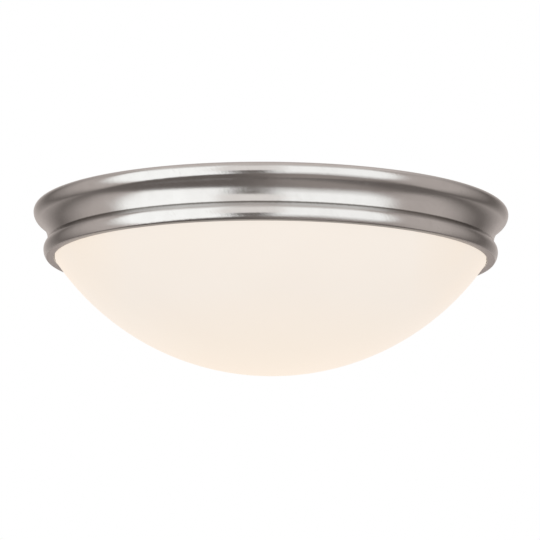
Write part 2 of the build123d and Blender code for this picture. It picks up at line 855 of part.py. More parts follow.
with BuildPart() as lamp_cap:
    with BuildSketch(lamp_section):
        with BuildLine():
            for wall_radius in (cap_radius, cap_inner_radius):
                Line((wall_radius - cap_taper, cap_start), (wall_radius, cap_shoulder))
                threaded_wall(wall_radius, cap_shoulder, cap_length, cap_shoulder + cap_sheet, cap_turns)
            Line((cap_radius - cap_taper, cap_start), (cap_inner_radius - cap_taper, cap_start))
            Line((cap_radius, cap_length), (cap_inner_radius, cap_length))
        make_face()
    revolve(axis=lamp_line)
keep_both(lamp_cap.part, "lamp_cap")

plug_radius = cap_inner_radius - cap_taper - insulator_gap
with BuildPart() as lamp_insulator:
    with BuildSketch(lamp_section):
        with BuildLine():
            Polyline(
                (0, insulator_start),
                (insulator_tip_radius, insulator_start),
                (cap_radius - cap_taper, cap_start - insulator_gap),
                (plug_radius, cap_start - insulator_gap),
                (plug_radius, cap_start + insulator_plug),
                (0, cap_start + insulator_plug),
                close=True,
            )
        make_face()
    revolve(axis=lamp_line)
keep_both(lamp_insulator.part, "lamp_insulator")

with BuildPart() as lamp_tip:
    with BuildSketch(lamp_section):
        with BuildLine():
            tip_sphere = (tip_radius**2 + insulator_start**2) / (2 * insulator_start)
            Polyline((tip_radius, insulator_start), (0, insulator_start), (0, 0))
            RadiusArc((0, 0), (tip_radius, insulator_start), -tip_sphere)
        make_face()
    revolve(axis=lamp_line)
keep_both(lamp_tip.part, "lamp_tip")

bulb_neck_radius = cap_inner_radius - bulb_neck_gap
neck_rise = bulb_centre - bulb_neck_end
neck_curve = (bulb_neck_radius**2 + neck_rise**2 - bulb_radius**2) / (2 * (bulb_radius - bulb_neck_radius))
neck_centre_r = bulb_neck_radius + neck_curve


def bulb_skin(inset):
    """Draw the bulb's outline from its open neck to its top, moved into the glass by inset."""
    neck = bulb_neck_radius - inset
    share = (bulb_radius - inset) / (bulb_radius + neck_curve)
    shoulder = (neck_centre_r * share, bulb_centre - neck_rise * share)
    Line((neck, bulb_neck_start), (neck, bulb_neck_end))
    RadiusArc((neck, bulb_neck_end), shoulder, neck_curve + inset)
    RadiusArc(shoulder, (0, bulb_centre + bulb_radius - inset), inset - bulb_radius)


with BuildPart() as lamp_glass:
    with BuildSketch(lamp_section):
        with BuildLine():
            for inset in (0, bulb_wall):
                bulb_skin(inset)
            Line((bulb_neck_radius, bulb_neck_start), (bulb_neck_radius - bulb_wall, bulb_neck_start))
            Line((0, bulb_centre + bulb_radius), (0, bulb_centre + bulb_radius - bulb_wall))
        make_face()
    revolve(axis=lamp_line)
keep_both(lamp_glass.part, "lamp_glass")

with BuildPart() as lamp_stem:
    with BuildSketch(lamp_section):
        with BuildLine():
            flare_radius = bulb_neck_radius - bulb_wall - stem_gap
            Polyline(
                (0, stem_start),
                (flare_radius, stem_start),
                (flare_radius, stem_start + stem_flare_sheet),
                (stem_radius, stem_start + stem_flare_height),
                (stem_radius, stem_top),
                (0, stem_top),
                close=True,
            )
        make_face()
    revolve(axis=lamp_line)
keep_both(lamp_stem.part, "lamp_stem")

with BuildPart() as lamp_wires:
    for side in (-1, 1):
        foot = Vector(side * support_wire_spacing / 2, stem_top + support_wire_gap)
        head = Vector(
            side * (filament_half_length - support_wire_radius),
            filament_distance - filament_radius - support_wire_radius,
        )
        wire_foot = lamp_side_section.from_local_coords(foot)
        wire_run = lamp_side_section.from_local_coords(head) - wire_foot
        with BuildSketch(Plane(origin=wire_foot, z_dir=wire_run)):
            Circle(support_wire_radius)
        extrude(amount=wire_run.length)
keep_both(lamp_wires.part, "lamp_wires")

filament_plane = Plane(
    origin=lamp_contact + lamp_axis * filament_distance - lamp_side * filament_half_length,
    x_dir=lamp_up,
    z_dir=lamp_side,
)
with BuildPart() as lamp_filament:
    with BuildSketch(filament_plane):
        Circle(filament_radius)
    extrude(amount=2 * filament_half_length)
keep_both(lamp_filament.part, "lamp_filament")


# ---------------------------------------------------------------- writing

for piece in pieces:
    export_step(piece, f"parts/{piece.label}.step")
print(len(pieces), "pieces, overall radius", body_radius, "mm, depth", round(-dome_bottom_z, 1), "mm")
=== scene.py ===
from math import acos, atan2, cos, degrees, hypot, pi, radians, sin, tan

import bpy
from mathutils import Matrix


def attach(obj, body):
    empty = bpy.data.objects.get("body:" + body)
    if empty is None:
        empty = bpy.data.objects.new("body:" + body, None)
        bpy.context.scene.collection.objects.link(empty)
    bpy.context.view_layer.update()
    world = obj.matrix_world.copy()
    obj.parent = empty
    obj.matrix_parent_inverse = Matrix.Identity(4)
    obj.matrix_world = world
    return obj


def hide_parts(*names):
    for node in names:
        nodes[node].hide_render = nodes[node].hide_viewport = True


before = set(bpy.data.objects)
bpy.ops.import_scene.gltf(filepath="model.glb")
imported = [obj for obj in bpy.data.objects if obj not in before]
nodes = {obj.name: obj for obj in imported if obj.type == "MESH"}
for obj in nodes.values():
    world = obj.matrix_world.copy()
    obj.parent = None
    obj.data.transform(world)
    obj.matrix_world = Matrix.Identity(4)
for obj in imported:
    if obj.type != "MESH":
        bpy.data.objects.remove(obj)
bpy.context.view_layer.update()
mm = 0.001

bpy.context.scene.view_settings.view_transform = "Standard"

# ---------------------------------------------------------------- camera

camera_data = bpy.data.cameras.new("photo camera")
camera_data.sensor_width = 36
camera_data.lens = 200
camera = bpy.data.objects.new("photo camera", camera_data)
bpy.context.scene.collection.objects.link(camera)
bpy.context.scene.camera = camera
# it stands 2.2 m in front and looks up at the ring; the other turns are small errors of its aim
camera_back, camera_drop = 2.212, 0.43817
look_up, roll, aim_down, aim_aside = 11.08, 0.463, -1.017, 0.018
camera.matrix_world = (
    Matrix.Translation((0, -camera_back, -camera_drop))
    @ Matrix.Rotation(radians(90 + look_up), 4, "X")
    @ Matrix.Rotation(radians(roll), 4, "Z")
    @ Matrix.Rotation(radians(aim_down), 4, "X")
    @ Matrix.Rotation(radians(aim_aside), 4, "Y")
)

# ---------------------------------------------------------------- studio


def link_nodes(tree, kind, inputs=None, **settings):
    """Add a node, set its options, and fill its inputs with values or with other nodes' outputs."""
    made = tree.nodes.new(kind)
    for option, value in settings.items():
        setattr(made, option, value)
    for socket, value in (inputs or {}).items():
        if isinstance(value, bpy.types.NodeSocket):
            tree.links.new(value, made.inputs[socket])
        else:
            made.inputs[socket].default_value = value
    return made


def soft_lamp(name, azimuth, height, width, tall, radiance, distance=2.0, lean=0):
    """A large soft lamp that faces the light from an azimuth: 0 is behind the camera, 90 at its right."""
    data = bpy.data.lights.new(name, "AREA")
    data.shape = "RECTANGLE"
    data.size, data.size_y = width, tall
    data.energy = radiance * pi * width * tall
    lamp = bpy.data.objects.new(name, data)
    bpy.context.scene.collection.objects.link(lamp)
    turn = radians(azimuth)
    lamp.location = (sin(turn) * distance, -cos(turn) * distance, height)
    lamp.rotation_euler = (radians(90 - lean), 0, turn)
    lamp.visible_camera = False
    lamp.visible_glossy = False
    return lamp


for number, azimuth in enumerate([-52, 40]):
    soft_lamp(f"front lamp {number + 1}", azimuth, -0.75, 1.9, 2.6, 1.25)
for number, azimuth in enumerate([-120, 120]):
    soft_lamp(f"side lamp {number + 1}", azimuth, 0.3, 1.6, 1.6, 0.5)
soft_lamp("overhead lamp", 0, 1.9, 2.4, 2.4, 0.75, distance=0, lean=90)
soft_lamp("low lamp", 0, -2.2, 1.6, 1.6, 0.25, distance=0.6, lean=-75)


def wall_colour(grey):
    """White paper where the studio is bright, turning to warm shadow where it is dark."""
    white = min(1, (1.1 * grey) ** 2)
    return (grey, grey * (0.87 + 0.13 * white), grey * (0.81 + 0.18 * white), 1)


def blend_by(tree, value, start, end, below, above):
    """One colour below a value's start, another above its end, and a straight blend between."""
    share = link_nodes(tree, "ShaderNodeMapRange", {"Value": value, 1: start, 2: end})
    made = link_nodes(
        tree, "ShaderNodeMix", {"Factor": share.outputs[0], 6: below, 7: above}, data_type="RGBA"
    )
    return made.outputs[2]


# what the polished ring sees round it: soft panels in a dim room. Each has the azimuth of its middle,
# from behind the camera, its half width, its foot and top, how far its sides fade, and its grey.
# All are degrees but the grey, which is a share of softbox_level.
studio_panels = [
    ("paper at the back", 180, 20, -40, 60, 30, 0.4),
    ("card at the left", -75, 25, -40, 30, 30, 0.4),
    ("card at the right", 70, 25, -40, 30, 30, 0.4),
    ("left softbox", -50, 25, -40, 30, 10, 0.95),
    ("right softbox", 30, 25, -40, 30, 10, 0.9),
    ("paper behind the camera", -10, 10, -10, 30, 10, 0.7),
    ("pale floor at the right", 40, 20, -90, -50, 40, 0.25),
]
room_grey = 0.12
ceiling_grey = 0.5
foot_fade, top_fade = 8, 30
ceiling_start, ceiling_end = 20, 60
softbox_level = 1.45
walls_radius = 2.3

bpy.ops.object.select_all(action="DESELECT")
bpy.ops.mesh.primitive_uv_sphere_add(segments=48, ring_count=24, radius=walls_radius)
walls = bpy.context.object
walls.name = "studio walls"
walls_paint = bpy.data.materials.new("studio walls")
walls_paint.use_nodes = True
paint = walls_paint.node_tree
paint.nodes.clear()
spot = link_nodes(paint, "ShaderNodeTexCoord").outputs["Object"]
apart = link_nodes(paint, "ShaderNodeSeparateXYZ", {0: spot})
towards = link_nodes(paint, "ShaderNodeMath", {0: apart.outputs["Y"], 1: -1.0}, operation="MULTIPLY")
compass = link_nodes(
    paint, "ShaderNodeMath", {0: apart.outputs["X"], 1: towards.outputs[0]}, operation="ARCTAN2"
)
compass = compass.outputs[0]
level = link_nodes(paint, "ShaderNodeMath", {0: apart.outputs["Z"], 1: walls_radius}, operation="DIVIDE")
level = link_nodes(paint, "ShaderNodeMath", {0: level.outputs[0]}, operation="ARCSINE").outputs[0]
room, ceiling = wall_colour(room_grey), wall_colour(ceiling_grey)
shade = blend_by(paint, level, radians(ceiling_start), radians(ceiling_end), room, ceiling)
for panel, azimuth, half_width, foot, top, side_fade, grey in studio_panels:
    middle = radians(azimuth)
    off = link_nodes(
        paint, "ShaderNodeMath", {0: compass, 1: middle + pi, 2: middle - pi}, operation="WRAP"
    ).outputs[0]
    off = link_nodes(paint, "ShaderNodeMath", {0: off, 1: middle}, operation="SUBTRACT").outputs[0]
    off = link_nodes(paint, "ShaderNodeMath", {0: off}, operation="ABSOLUTE").outputs[0]
    share = None
    for value, full, gone in (
        (off, half_width, half_width + side_fade),
        (level, foot, foot - foot_fade),
        (level, top, top + top_fade),
    ):
        edge = link_nodes(
            paint, "ShaderNodeMapRange", {"Value": value, 1: radians(gone), 2: radians(full)}
        ).outputs[0]
        if share is not None:
            edge = link_nodes(paint, "ShaderNodeMath", {0: share, 1: edge}, operation="MULTIPLY").outputs[0]
        share = edge
    colours = {"Factor": share, 6: shade, 7: wall_colour(grey)}
    lit = link_nodes(paint, "ShaderNodeMix", colours, data_type="RGBA", label=panel)
    shade = lit.outputs[2]
glow = link_nodes(paint, "ShaderNodeEmission", {"Color": shade, "Strength": softbox_level})
link_nodes(paint, "ShaderNodeOutputMaterial", {"Surface": glow.outputs[0]})
walls.data.materials.append(walls_paint)
walls.visible_camera = walls.visible_diffuse = walls.visible_transmission = walls.visible_shadow = False

bpy.ops.object.select_all(action="DESELECT")
floor_width, floor_drop = 30, 3.4
bpy.ops.mesh.primitive_plane_add(size=floor_width, location=(0, 0, -floor_drop))
floor = bpy.context.object
floor.name = "studio floor"
floor_paint = bpy.data.materials.new("studio floor")
floor_paint.use_nodes = True
floor_shader = floor_paint.node_tree.nodes["Principled BSDF"]
floor_shader.inputs["Base Color"].default_value = (0.78, 0.77, 0.76, 1)
floor_shader.inputs["Emission Color"].default_value = (0.98, 0.97, 0.96, 1)
floor_shader.inputs["Emission Strength"].default_value = 0.5
floor_shader.inputs["Roughness"].default_value = 0.9
floor.data.materials.append(floor_paint)
floor.visible_diffuse = False

world = bpy.data.worlds.new("studio air")
bpy.context.scene.world = world
world.use_nodes = True
air = world.node_tree
air.nodes.clear()
path = link_nodes(air, "ShaderNodeLightPath")
seen = link_nodes(
    air,
    "ShaderNodeMath",
    {0: path.outputs["Is Camera Ray"], 1: path.outputs["Is Glossy Ray"]},
    operation="MAXIMUM",
)
seen = link_nodes(
    air, "ShaderNodeMath", {0: seen.outputs[0], 1: path.outputs["Is Transmission Ray"]}, operation="MAXIMUM"
)
dim = link_nodes(air, "ShaderNodeBackground", {"Color": (0.45, 0.45, 0.45, 1), "Strength": 1})
bright = link_nodes(air, "ShaderNodeBackground", {"Color": (1, 1, 1, 1), "Strength": 1})
both = link_nodes(air, "ShaderNodeMixShader", {0: seen.outputs[0], 1: dim.outputs[0], 2: bright.outputs[0]})
link_nodes(air, "ShaderNodeOutputWorld", {"Surface": both.outputs[0]})

# the spun ring's section, as radii and heights in millimetres below the ceiling
ring_sheet = 1.0
flange_radius = 152.0
shoulder = (172.8, -5.0)
bead = (169.8, -5.0)
bead_radius = 8.0
waist_radius, waist_height, crease_height = 167.0, -25.2, -26.4
cove_drop, cove_reach = bead[1] - waist_height, bead[0] - waist_radius
cove_radius = (cove_reach**2 + cove_drop**2 - bead_radius**2) / (2 * (bead_radius + cove_reach))
cove = (waist_radius + cove_radius, waist_height)
cove_sweep = degrees(atan2(cove_drop, cove_radius - cove_reach))
lower_top, lower_top_radius = (162.9, -33.2), 7.0
belly, belly_radius, belly_sweep = (160.4, -33.2), 9.5, 36.0
crease_reach, crease_rise = waist_radius - lower_top[0], crease_height - lower_top[1]
cone_lean = degrees(
    atan2(crease_rise, crease_reach) - acos(lower_top_radius / hypot(crease_reach, crease_rise))
)
lip_radius, lip_height = 162.0, -39.5
belly_share = sin(radians(belly_sweep))
lip_bend_radius = (belly[1] - lip_height - belly_radius * belly_share) / (1 - belly_share)
lip_bend = (
    belly[0] + (belly_radius - lip_bend_radius) * cos(radians(belly_sweep)), lip_height + lip_bend_radius
)

# ---------------------------------------------------------------- shared effects


def effect(name, inputs, outputs):
    """An empty node group with named sockets, its input node and its output node."""
    group = bpy.data.node_groups.new(name, "ShaderNodeTree")
    kinds = {"vector": "NodeSocketVector", "value": "NodeSocketFloat", "colour": "NodeSocketColor"}
    for socket, kind in inputs:
        group.interface.new_socket(socket, in_out="INPUT", socket_type=kinds[kind])
    for socket, kind in outputs:
        group.interface.new_socket(socket, in_out="OUTPUT", socket_type=kinds[kind])
    return group, group.nodes.new("NodeGroupInput").outputs, group.nodes.new("NodeGroupOutput").inputs


def fill(group, target, source):
    group.links.new(source, target)


# cloudy patches between two colours, and the same patches as a mask
cloudy, given, gives = effect(
    "cloudy colour",
    [
        ("Place", "vector"),
        ("Patches per metre", "value"),
        ("Light colour", "colour"),
        ("Dark colour", "colour"),
    ],
    [("Colour", "colour"), ("Mask", "value")],
)
cloud = link_nodes(
    cloudy,
    "ShaderNodeTexNoise",
    {"Vector": given["Place"], "Scale": given["Patches per metre"], "Detail": 4, "Roughness": 0.55},
)
spread = link_nodes(cloudy, "ShaderNodeMapRange", {"Value": cloud.outputs[0], 1: 0.32, 2: 0.68})
mixed = link_nodes(
    cloudy, "ShaderNodeMix", {
        "Factor": spread.outputs[0], 6: given["Light colour"], 7: given["Dark colour"]
    }, data_type="RGBA"
)
fill(cloudy, gives["Colour"], mixed.outputs[2])
fill(cloudy, gives["Mask"], spread.outputs[0])

# fine grain for bumps and for uneven gloss
grain, given, gives = effect(
    "fine grain",
    [("Place", "vector"), ("Grains per metre", "value"), ("Least", "value"), ("Most", "value")],
    [("Height", "value"), ("Range", "value")],
)
fine = link_nodes(
    grain,
    "ShaderNodeTexNoise",
    {"Vector": given["Place"], "Scale": given["Grains per metre"], "Detail": 5, "Roughness": 0.6},
)
ranged = link_nodes(
    grain,
    "ShaderNodeMapRange",
    {"Value": fine.outputs[0], 1: 0.3, 2: 0.7, 3: given["Least"], 4: given["Most"]},
)
fill(grain, gives["Height"], fine.outputs[0])
fill(grain, gives["Range"], ranged.outputs[0])

# places round the light's axis: distance along the circle, radius and height
around, given, gives = effect(
    "round the axis", [("Place", "vector"), ("Radius", "value")], [("Place", "vector")]
)
split = link_nodes(around, "ShaderNodeSeparateXYZ", {0: given["Place"]})
ahead = link_nodes(around, "ShaderNodeMath", {0: split.outputs["Y"], 1: -1.0}, operation="MULTIPLY")
swing = link_nodes(
    around, "ShaderNodeMath", {0: split.outputs["X"], 1: ahead.outputs[0]}, operation="ARCTAN2"
)
arc_length = link_nodes(
    around, "ShaderNodeMath", {0: swing.outputs[0], 1: given["Radius"]}, operation="MULTIPLY"
)
flat_place = link_nodes(around, "ShaderNodeCombineXYZ", {0: split.outputs["X"], 1: split.outputs["Y"]})
reach = link_nodes(around, "ShaderNodeVectorMath", {0: flat_place.outputs[0]}, operation="LENGTH")
rolled = link_nodes(
    around,
    "ShaderNodeCombineXYZ",
    {0: arc_length.outputs[0], 1: reach.outputs["Value"], 2: split.outputs["Z"]},
)
fill(around, gives["Place"], rolled.outputs[0])

# long thin marks left by abrasive or by drawing, along X of the place given
marks, given, gives = effect(
    "rub marks",
    [("Place", "vector"), ("Marks per metre", "value"), ("Length", "value")],
    [("Height", "value"), ("Mask", "value")],
)
split = link_nodes(marks, "ShaderNodeSeparateXYZ", {0: given["Place"]})
slow = link_nodes(marks, "ShaderNodeMath", {0: split.outputs["X"], 1: given["Length"]}, operation="DIVIDE")
drawn = link_nodes(
    marks, "ShaderNodeCombineXYZ", {0: slow.outputs[0], 1: split.outputs["Y"], 2: split.outputs["Z"]}
)
hair = link_nodes(
    marks,
    "ShaderNodeTexNoise",
    {"Vector": drawn.outputs[0], "Scale": given["Marks per metre"], "Detail": 3, "Roughness": 0.6},
)
deep = link_nodes(marks, "ShaderNodeMapRange", {"Value": hair.outputs[0], 1: 0.58, 2: 0.74})
fill(marks, gives["Height"], hair.outputs[0])
fill(marks, gives["Mask"], deep.outputs[0])

# specks, pits and dust
specks, given, gives = effect(
    "specks", [("Place", "vector"), ("Specks per metre", "value"), ("Share", "value")], [("Mask", "value")]
)
cells = link_nodes(
    specks,
    "ShaderNodeTexVoronoi",
    {"Vector": given["Place"], "Scale": given["Specks per metre"], "Randomness": 1},
)
near = link_nodes(
    specks, "ShaderNodeMath", {0: cells.outputs["Distance"], 1: given["Share"]}, operation="LESS_THAN"
)
fill(specks, gives["Mask"], near.outputs[0])

# ---------------------------------------------------------------- finishes


class Finish:
    """A material under construction: its shader, its places, and short calls for the shared effects."""

    def __init__(self, name, **values):
        self.material = bpy.data.materials.new(name)
        self.material.use_nodes = True
        self.tree = self.material.node_tree
        self.shader = self.tree.nodes["Principled BSDF"]
        for socket, value in values.items():
            self.shader.inputs[socket.replace("_", " ")].default_value = value
        self.place = self.add("ShaderNodeTexCoord").outputs["Object"]

    def add(self, kind, inputs=None, **settings):
        return link_nodes(self.tree, kind, inputs, **settings)

    def use(self, group, **inputs):
        made = self.tree.nodes.new("ShaderNodeGroup")
        made.node_tree = group
        for socket, value in inputs.items():
            socket = made.inputs[socket.replace("_", " ")]
            if isinstance(value, bpy.types.NodeSocket):
                self.tree.links.new(value, socket)
            else:
                socket.default_value = value
        return made.outputs

    def to(self, socket, source):
        self.tree.links.new(source, self.shader.inputs[socket])

    def mix(self, mask, first, second):
        made = self.add("ShaderNodeMix", {"Factor": mask, 6: first, 7: second}, data_type="RGBA")
        return made.outputs[2]

    def sum(self, first, second, share):
        made = self.add("ShaderNodeMath", {0: second, 1: share, 2: first}, operation="MULTIPLY_ADD")
        return made.outputs[0]

    def bump(self, height, depth):
        made = self.add("ShaderNodeBump", {"Height": height, "Distance": depth, "Strength": 1.0})
        self.to("Normal", made.outputs[0])


def brushed_ring_finish():
    """Nickel brushed on a slant, with painted shade in the crease and in a band below it, stronger towards
    the sides, and painted shade on the lip, darker towards the front and back.
    """
    brush_lean, brush_back = -50, 42
    cove_middle = 0.0165
    steel = Finish("brushed nickel on steel", Metallic=1.0)
    place = steel.use(around, Place=steel.place, Radius=0.172)["Place"]
    lean = steel.add(
        "ShaderNodeMapping", {"Vector": place, "Rotation": (0, radians(brush_lean), 0)}
    ).outputs[0]
    lean_back = steel.add(
        "ShaderNodeMapping", {"Vector": place, "Rotation": (0, radians(brush_back), 0)}
    ).outputs[0]
    first = steel.use(marks, Place=lean, Marks_per_metre=1300, Length=12)
    second = steel.use(marks, Place=lean_back, Marks_per_metre=1200, Length=12)
    waves = steel.use(grain, Place=steel.place, Grains_per_metre=150, Least=0.085, Most=0.125)
    height = steel.sum(first["Height"], second["Height"], 0.25)
    height = steel.sum(height, waves["Height"], 0.03)
    colour = steel.use(
        cloudy, Place=steel.place, Patches_per_metre=60, Light_colour=(0.67, 0.667, 0.66, 1), Dark_colour=(
            0.635, 0.63, 0.622, 1
        )
    )
    brushed = steel.mix(first["Mask"], colour["Colour"], (0.6, 0.59, 0.58, 1))
    apart = steel.add("ShaderNodeSeparateXYZ", {0: steel.place}).outputs
    side = steel.add("ShaderNodeMath", {0: apart["X"]}, operation="ABSOLUTE").outputs[0]
    # painted shade: a mask from 0.3 in the middle to 1 at the sides, by |X|, for the band below the crease
    side_shade_mask = steel.add("ShaderNodeMapRange", {"Value": side, 1: 0.06, 2: 0.125, 3: 0.3, 4: 1.0}).outputs[0]
    # painted shade of the crease: a narrow dark line along the crease and a band just below it, both mixed
    # towards a near-black colour
    off_crease = steel.add(
        "ShaderNodeMath", {0: apart["Z"], 1: 0.0001 - crease_height * mm}, operation="ADD"
    ).outputs[0]
    off_crease = steel.sum(off_crease, first["Height"], 0.0012)
    far = steel.add("ShaderNodeMath", {0: off_crease}, operation="ABSOLUTE").outputs[0]
    crease_line_shade = steel.add(
        "ShaderNodeMapRange", {"Value": far, 1: 0.0003, 2: 0.0012, 3: 0.85, 4: 0.0}
    ).outputs[0]
    below = steel.add("ShaderNodeMapRange", {"Value": off_crease, 1: -0.0042, 2: -0.0006}).outputs[0]
    above = steel.add(
        "ShaderNodeMapRange", {"Value": off_crease, 1: 0.0002, 2: 0.0009, 3: 1.0, 4: 0.0}
    ).outputs[0]
    below = steel.add("ShaderNodeMath", {0: below, 1: above}, operation="MULTIPLY").outputs[0]
    below = steel.add("ShaderNodeMath", {0: below, 1: side_shade_mask}, operation="MULTIPLY").outputs[0]
    painted_crease_shade = steel.add("ShaderNodeMath", {0: crease_line_shade, 1: below}, operation="MAXIMUM").outputs[0]
    # painted shade: the crease and the band below it are mixed towards (0.15, 0.135, 0.125)
    crease_shaded_colour = steel.mix(painted_crease_shade, brushed, (0.15, 0.135, 0.125, 1))
    # painted shade on the lip: its colour is mixed towards darker greys, darkest where |X| is small; the same
    # mask also makes the lip rougher
    lip = steel.add(
        "ShaderNodeMapRange", {
            "Value": apart["Z"], 1: lip_height * mm + 0.0001, 2: lip_height * mm + 0.0005, 3: 0.85, 4: 0.0
        }
    ).outputs[0]
    shaded = steel.add("ShaderNodeMapRange", {"Value": side, 1: 0.09, 2: 0.15, 3: 1.0, 4: 0.0}).outputs[0]
    painted_lip_shade = steel.mix(shaded, (0.6, 0.575, 0.565, 1), (0.36, 0.34, 0.33, 1))
    steel.to("Base Color", steel.mix(lip, crease_shaded_colour, painted_lip_shade))
    cove_heart = steel.add("ShaderNodeMath", {0: apart["Z"], 1: cove_middle}, operation="ADD").outputs[0]
    cove_heart = steel.add("ShaderNodeMath", {0: cove_heart}, operation="ABSOLUTE").outputs[0]
    matt = steel.add(
        "ShaderNodeMapRange", {"Value": cove_heart, 1: 0.003, 2: 0.007, 3: 0.08, 4: 0.0}
    ).outputs[0]
    rough = steel.add("ShaderNodeMath", {0: waves["Range"], 1: matt}, operation="ADD").outputs[0]
    steel.to("Roughness", steel.sum(rough, lip, 0.4))
    steel.bump(height, 0.00007)
    return steel.material


def opal_glass_finish():
    """Opal glass whose light from inside is painted as emission: whitest round the collar, a little warmer at
    the foot and on the flanks, painted so to even out its shading.
    """
    opal = Finish("opal glass, satin etched", Roughness=0.42, IOR=1.5, Emission_Strength=1.0)
    tint = opal.use(
        cloudy,
        Place=opal.place,
        Patches_per_metre=9,
        Light_colour=(0.21, 0.205, 0.195, 1),
        Dark_colour=(0.2, 0.192, 0.18, 1),
    )
    # painted light: the glass's glow is emission in its colour, not light from the lamps inside; it is
    # painted warmer on the flanks, by |X|, and warmer at the foot, by height
    apart = opal.add("ShaderNodeSeparateXYZ", {0: opal.place}).outputs
    flank = opal.add("ShaderNodeMath", {0: apart["X"]}, operation="ABSOLUTE").outputs[0]
    flank = opal.add("ShaderNodeMapRange", {"Value": flank, 1: 0.1, 2: 0.146}).outputs[0]
    collar = opal.add("ShaderNodeMapRange", {"Value": apart["Z"], 1: -0.126, 2: -0.08}).outputs[0]
    white = opal.mix(collar, (0.77, 0.668, 0.562, 1), (0.728, 0.657, 0.588, 1))
    white = opal.mix(flank, white, (0.76, 0.645, 0.53, 1))
    grey = opal.mix(collar, (0.76, 0.656, 0.548, 1), (0.718, 0.645, 0.574, 1))
    glow = opal.use(cloudy, Place=opal.place, Patches_per_metre=7, Light_colour=white, Dark_colour=grey)
    etch = opal.use(grain, Place=opal.place, Grains_per_metre=2500, Least=0.38, Most=0.46)
    opal.to("Base Color", tint["Colour"])
    opal.to("Emission Color", glow["Colour"])
    opal.to("Roughness", etch["Range"])
    opal.bump(etch["Height"], 0.000004)
    return opal.material


def enamel_finish():
    enamel = Finish("white enamel", Coat_Weight=0.6, Coat_Roughness=0.12)
    peel = enamel.use(grain, Place=enamel.place, Grains_per_metre=420, Least=0.28, Most=0.4)
    tone = enamel.use(
        cloudy,
        Place=enamel.place,
        Patches_per_metre=14,
        Light_colour=(0.86, 0.85, 0.82, 1),
        Dark_colour=(0.82, 0.80, 0.75, 1),
    )
    dust = enamel.use(specks, Place=enamel.place, Specks_per_metre=260, Share=0.06)["Mask"]
    enamel.to("Base Color", enamel.mix(dust, tone["Colour"], (0.55, 0.51, 0.46, 1)))
    enamel.to("Roughness", peel["Range"])
    enamel.bump(peel["Height"], 0.00003)
    return enamel.material


def drawn_metal_finish(
    name, light, dark, roughness, marks_per_metre=1500, length=14, depth=0.000008, turn=(0, 0, 0), spangle=40
):
    """A metal with drawing marks along one direction, cloudy tone and a few worn scratches."""
    metal = Finish(name, Metallic=1.0)
    turned = metal.add("ShaderNodeMapping", {"Vector": metal.place, "Rotation": turn}).outputs[0]
    lines = metal.use(marks, Place=turned, Marks_per_metre=marks_per_metre, Length=length)
    tone = metal.use(
        cloudy, Place=metal.place, Patches_per_metre=spangle, Light_colour=(*light, 1), Dark_colour=(*dark, 1)
    )
    gloss = metal.use(
        grain, Place=metal.place, Grains_per_metre=300, Least=roughness - 0.06, Most=roughness + 0.08
    )
    worn = tuple(0.75 * value for value in dark)
    metal.to("Base Color", metal.mix(lines["Mask"], tone["Colour"], (*worn, 1)))
    metal.to("Roughness", gloss["Range"])
    metal.bump(lines["Height"], depth)
    return metal.material


def zinc_finish():
    zinc = Finish("zinc plated steel", Metallic=1.0)
    cells = zinc.add("ShaderNodeTexVoronoi", {"Vector": zinc.place, "Scale": 420}).outputs["Color"]
    tone = zinc.use(
        cloudy,
        Place=zinc.place,
        Patches_per_metre=55,
        Light_colour=(0.66, 0.67, 0.69, 1),
        Dark_colour=(0.58, 0.57, 0.52, 1),
    )
    shift = zinc.add("ShaderNodeSeparateColor", {0: cells}).outputs[0]
    flake = zinc.add("ShaderNodeMapRange", {"Value": shift, 3: 0.0, 4: 0.35}).outputs[0]
    gloss = zinc.use(grain, Place=zinc.place, Grains_per_metre=700, Least=0.3, Most=0.46)
    zinc.to("Base Color", zinc.mix(flake, tone["Colour"], (0.5, 0.51, 0.52, 1)))
    zinc.to("Roughness", gloss["Range"])
    zinc.bump(gloss["Height"], 0.00001)
    return zinc.material


def turned_metal_finish(name, light, dark, roughness, tarnish):
    """A bright metal with cloudy tarnish and fine scuffs."""
    metal = Finish(name, Metallic=1.0)
    tone = metal.use(
        cloudy, Place=metal.place, Patches_per_metre=120, Light_colour=(*light, 1), Dark_colour=(*dark, 1)
    )
    scuffs = metal.use(marks, Place=metal.place, Marks_per_metre=1800, Length=8)
    gloss = metal.use(grain, Place=metal.place, Grains_per_metre=900, Least=roughness, Most=roughness + 0.14)
    metal.to("Base Color", metal.mix(scuffs["Mask"], tone["Colour"], (*tarnish, 1)))
    metal.to("Roughness", gloss["Range"])
    metal.bump(scuffs["Height"], 0.000006)
    return metal.material


def porcelain_finish():
    clay = Finish("glazed porcelain", Coat_Weight=0.8, Coat_Roughness=0.08)
    tone = clay.use(
        cloudy,
        Place=clay.place,
        Patches_per_metre=45,
        Light_colour=(0.86, 0.84, 0.79, 1),
        Dark_colour=(0.82, 0.79, 0.72, 1),
    )
    pits = clay.use(specks, Place=clay.place, Specks_per_metre=700, Share=0.09)["Mask"]
    glaze = clay.use(grain, Place=clay.place, Grains_per_metre=350, Least=0.22, Most=0.34)
    clay.to("Base Color", clay.mix(pits, tone["Colour"], (0.42, 0.36, 0.3, 1)))
    clay.to("Roughness", glaze["Range"])
    clay.bump(glaze["Height"], 0.00003)
    return clay.material


def moulded_finish(name, light, dark, roughness, grains=1400, depth=0.00001, **values):
    """Moulded plastic or rubber with a fine spark eroded grain."""
    part = Finish(name, **values)
    tone = part.use(
        cloudy, Place=part.place, Patches_per_metre=70, Light_colour=(*light, 1), Dark_colour=(*dark, 1)
    )
    skin = part.use(
        grain, Place=part.place, Grains_per_metre=grains, Least=roughness - 0.06, Most=roughness + 0.08
    )
    dust = part.use(specks, Place=part.place, Specks_per_metre=900, Share=0.07)["Mask"]
    lighter = tuple(min(1, 0.8 * value + 0.12) for value in light)
    part.to("Base Color", part.mix(dust, tone["Colour"], (*lighter, 1)))
    part.to("Roughness", skin["Range"])
    part.bump(skin["Height"], depth)
    return part.material


